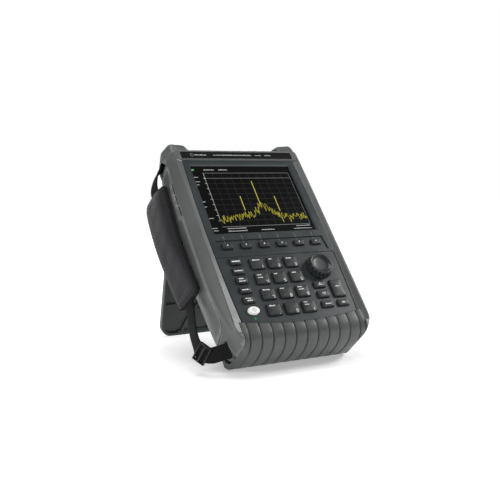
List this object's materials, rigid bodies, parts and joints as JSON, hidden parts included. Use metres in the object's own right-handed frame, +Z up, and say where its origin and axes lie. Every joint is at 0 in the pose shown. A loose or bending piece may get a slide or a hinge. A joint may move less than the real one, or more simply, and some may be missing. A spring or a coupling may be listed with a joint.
{
  "type": "vector network analyzer",
  "caption": "Rugged handheld network analyzer leaning on a fold-out stand, with lit screen, keypad, turning knob, side flaps, ribbed bumper and padded hand strap.",
  "frame": {"origin": "centre of the flat contact face under the bottom bumper, on the ground, midway between the two sides of the case", "axes": "+Z up, -Y the way the screen faces (the case leans back 41.6 degrees from vertical), +X to the right seen from the front"},
  "size_m": [0.2103, 0.2269, 0.2421],
  "materials": {
    "housing": "fine textured",
    "housing_rear": "fine textured",
    "housing_cover": "fine textured",
    "bumper": "matt",
    "panel": "satin",
    "window": "anti-glare",
    "display": "lit screen",
    "plate_black": "satin",
    "board": "solder mask",
    "key": "matt",
    "key_white": "satin",
    "knob": "matt",
    "metal": "satin",
    "led": "lit",
    "connector_metal": "nickel",
    "gold": "gold plated",
    "battery": "matt",
    "shield": "satin",
    "stand": "satin",
    "steel": "satin",
    "pad": "woven, padded",
    "webbing": "woven",
    "buckle": "matt",
    "flap": "matt"
  },
  "bodies": {
    "case": {"front_housing": "housing", "rear_housing": "housing_rear", "bottom_bumper": "bumper", "screen_bezel": "panel", "screen_window": "window", "display_module": "display", "name_plate": "plate_black", "keypad_panel": "panel", "key_board": "board", "knob_encoder": "metal", "power_led": "led", "connector_panel": "panel", "rf_ports": "connector_metal", "sma_jacks": "gold", "io_jacks": "metal", "side_cover": "housing_cover", "battery_pack": "battery", "main_board": "board", "rf_module": "shield", "stand_pins": "steel", "housing_screws": "steel", "strap_pad": "pad", "strap_webbing": "webbing", "strap_buckle": "buckle", "corner_guards": "housing_rear"},
    "stand": {"stand": "stand"},
    "knob": {"knob": "knob"},
    "battery_door": {"battery_door": "housing_cover"},
    "port_flap_1": {"port_flap_1": "flap"},
    "port_flap_2": {"port_flap_2": "flap"},
    "port_flap_3": {"port_flap_3": "flap"},
    "softkey_1": {"softkey_1": "key"},
    "softkey_2": {"softkey_2": "key"},
    "softkey_3": {"softkey_3": "key"},
    "softkey_4": {"softkey_4": "key"},
    "softkey_5": {"softkey_5": "key"},
    "softkey_6": {"softkey_6": "key"},
    "function_key_1": {"function_key_1": "key"},
    "function_key_2": {"function_key_2": "key"},
    "function_key_3": {"function_key_3": "key"},
    "function_key_4": {"function_key_4": "key"},
    "function_key_5": {"function_key_5": "key"},
    "key_1": {"key_1": "key"},
    "key_2": {"key_2": "key"},
    "key_3": {"key_3": "key"},
    "key_4": {"key_4": "key"},
    "key_5": {"key_5": "key"},
    "key_6": {"key_6": "key"},
    "key_7": {"key_7": "key"},
    "key_8": {"key_8": "key"},
    "key_9": {"key_9": "key"},
    "key_point": {"key_point": "key"},
    "key_0": {"key_0": "key"},
    "key_sign": {"key_sign": "key"},
    "power_key": {"power_key": "key_white"},
    "arrow_up_key": {"arrow_up_key": "key"},
    "arrow_down_key": {"arrow_down_key": "key"},
    "enter_key": {"enter_key": "key"},
    "back_key": {"back_key": "key"},
    "mark_key": {"mark_key": "key"}
  },
  "joints": [
    {"name": "stand_hinge", "type": "hinge", "parent": "case", "child": "stand", "pos_m": [0, 0.1403, 0.14816], "axis": [1, 0, 0], "range_deg": [-55.5, 0]},
    {"name": "knob_turn", "type": "hinge", "parent": "case", "child": "knob", "pos_m": [0.046, 0.00868, 0.10053], "axis": [0, -0.7478, 0.6639], "continuous": true},
    {"name": "port_flap_1_hinge", "type": "hinge", "parent": "case", "child": "port_flap_1", "pos_m": [-0.09372, 0.10521, 0.18439], "axis": [0, -0.6639, -0.7478], "range_deg": [0, 85]},
    {"name": "port_flap_2_hinge", "type": "hinge", "parent": "case", "child": "port_flap_2", "pos_m": [-0.09427, 0.09452, 0.17235], "axis": [0, -0.6639, -0.7478], "range_deg": [0, 85]},
    {"name": "port_flap_3_hinge", "type": "hinge", "parent": "case", "child": "port_flap_3", "pos_m": [-0.09454, 0.08383, 0.16031], "axis": [0, -0.6639, -0.7478], "range_deg": [0, 85]},
    {"name": "battery_door_hinge", "type": "hinge", "parent": "case", "child": "battery_door", "pos_m": [0.0891, -0.00473, 0.04023], "axis": [0, 0.7478, -0.6639], "range_deg": [0, 90]},
    {"name": "softkey_1_press", "type": "slide", "parent": "case", "child": "softkey_1", "axis": [0, 0.7478, -0.6639], "range_m": [0, 0.0012], "stiffness_N_per_m": 700},
    {"name": "softkey_2_press", "type": "slide", "parent": "case", "child": "softkey_2", "axis": [0, 0.7478, -0.6639], "range_m": [0, 0.0012], "stiffness_N_per_m": 700},
    {"name": "softkey_3_press", "type": "slide", "parent": "case", "child": "softkey_3", "axis": [0, 0.7478, -0.6639], "range_m": [0, 0.0012], "stiffness_N_per_m": 700},
    {"name": "softkey_4_press", "type": "slide", "parent": "case", "child": "softkey_4", "axis": [0, 0.7478, -0.6639], "range_m": [0, 0.0012], "stiffness_N_per_m": 700},
    {"name": "softkey_5_press", "type": "slide", "parent": "case", "child": "softkey_5", "axis": [0, 0.7478, -0.6639], "range_m": [0, 0.0012], "stiffness_N_per_m": 700},
    {"name": "softkey_6_press", "type": "slide", "parent": "case", "child": "softkey_6", "axis": [0, 0.7478, -0.6639], "range_m": [0, 0.0012], "stiffness_N_per_m": 700},
    {"name": "function_key_1_press", "type": "slide", "parent": "case", "child": "function_key_1", "axis": [0, 0.7478, -0.6639], "range_m": [0, 0.0012], "stiffness_N_per_m": 700},
    {"name": "function_key_2_press", "type": "slide", "parent": "case", "child": "function_key_2", "axis": [0, 0.7478, -0.6639], "range_m": [0, 0.0012], "stiffness_N_per_m": 700},
    {"name": "function_key_3_press", "type": "slide", "parent": "case", "child": "function_key_3", "axis": [0, 0.7478, -0.6639], "range_m": [0, 0.0012], "stiffness_N_per_m": 700},
    {"name": "function_key_4_press", "type": "slide", "parent": "case", "child": "function_key_4", "axis": [0, 0.7478, -0.6639], "range_m": [0, 0.0012], "stiffness_N_per_m": 700},
    {"name": "function_key_5_press", "type": "slide", "parent": "case", "child": "function_key_5", "axis": [0, 0.7478, -0.6639], "range_m": [0, 0.0012], "stiffness_N_per_m": 700},
    {"name": "key_1_press", "type": "slide", "parent": "case", "child": "key_1", "axis": [0, 0.7478, -0.6639], "range_m": [0, 0.0012], "stiffness_N_per_m": 700},
    {"name": "key_2_press", "type": "slide", "parent": "case", "child": "key_2", "axis": [0, 0.7478, -0.6639], "range_m": [0, 0.0012], "stiffness_N_per_m": 700},
    {"name": "key_3_press", "type": "slide", "parent": "case", "child": "key_3", "axis": [0, 0.7478, -0.6639], "range_m": [0, 0.0012], "stiffness_N_per_m": 700},
    {"name": "key_4_press", "type": "slide", "parent": "case", "child": "key_4", "axis": [0, 0.7478, -0.6639], "range_m": [0, 0.0012], "stiffness_N_per_m": 700},
    {"name": "key_5_press", "type": "slide", "parent": "case", "child": "key_5", "axis": [0, 0.7478, -0.6639], "range_m": [0, 0.0012], "stiffness_N_per_m": 700},
    {"name": "key_6_press", "type": "slide", "parent": "case", "child": "key_6", "axis": [0, 0.7478, -0.6639], "range_m": [0, 0.0012], "stiffness_N_per_m": 700},
    {"name": "key_7_press", "type": "slide", "parent": "case", "child": "key_7", "axis": [0, 0.7478, -0.6639], "range_m": [0, 0.0012], "stiffness_N_per_m": 700},
    {"name": "key_8_press", "type": "slide", "parent": "case", "child": "key_8", "axis": [0, 0.7478, -0.6639], "range_m": [0, 0.0012], "stiffness_N_per_m": 700},
    {"name": "key_9_press", "type": "slide", "parent": "case", "child": "key_9", "axis": [0, 0.7478, -0.6639], "range_m": [0, 0.0012], "stiffness_N_per_m": 700},
    {"name": "key_point_press", "type": "slide", "parent": "case", "child": "key_point", "axis": [0, 0.7478, -0.6639], "range_m": [0, 0.0012], "stiffness_N_per_m": 700},
    {"name": "key_0_press", "type": "slide", "parent": "case", "child": "key_0", "axis": [0, 0.7478, -0.6639], "range_m": [0, 0.0012], "stiffness_N_per_m": 700},
    {"name": "key_sign_press", "type": "slide", "parent": "case", "child": "key_sign", "axis": [0, 0.7478, -0.6639], "range_m": [0, 0.0012], "stiffness_N_per_m": 700},
    {"name": "power_key_press", "type": "slide", "parent": "case", "child": "power_key", "axis": [0, 0.7478, -0.6639], "range_m": [0, 0.0012], "stiffness_N_per_m": 700},
    {"name": "arrow_up_key_press", "type": "slide", "parent": "case", "child": "arrow_up_key", "axis": [0, 0.7478, -0.6639], "range_m": [0, 0.0012], "stiffness_N_per_m": 700},
    {"name": "arrow_down_key_press", "type": "slide", "parent": "case", "child": "arrow_down_key", "axis": [0, 0.7478, -0.6639], "range_m": [0, 0.0012], "stiffness_N_per_m": 700},
    {"name": "enter_key_press", "type": "slide", "parent": "case", "child": "enter_key", "axis": [0, 0.7478, -0.6639], "range_m": [0, 0.0012], "stiffness_N_per_m": 700},
    {"name": "back_key_press", "type": "slide", "parent": "case", "child": "back_key", "axis": [0, 0.7478, -0.6639], "range_m": [0, 0.0012], "stiffness_N_per_m": 700},
    {"name": "mark_key_press", "type": "slide", "parent": "case", "child": "mark_key", "axis": [0, 0.7478, -0.6639], "range_m": [0, 0.0012], "stiffness_N_per_m": 700}
  ]
}
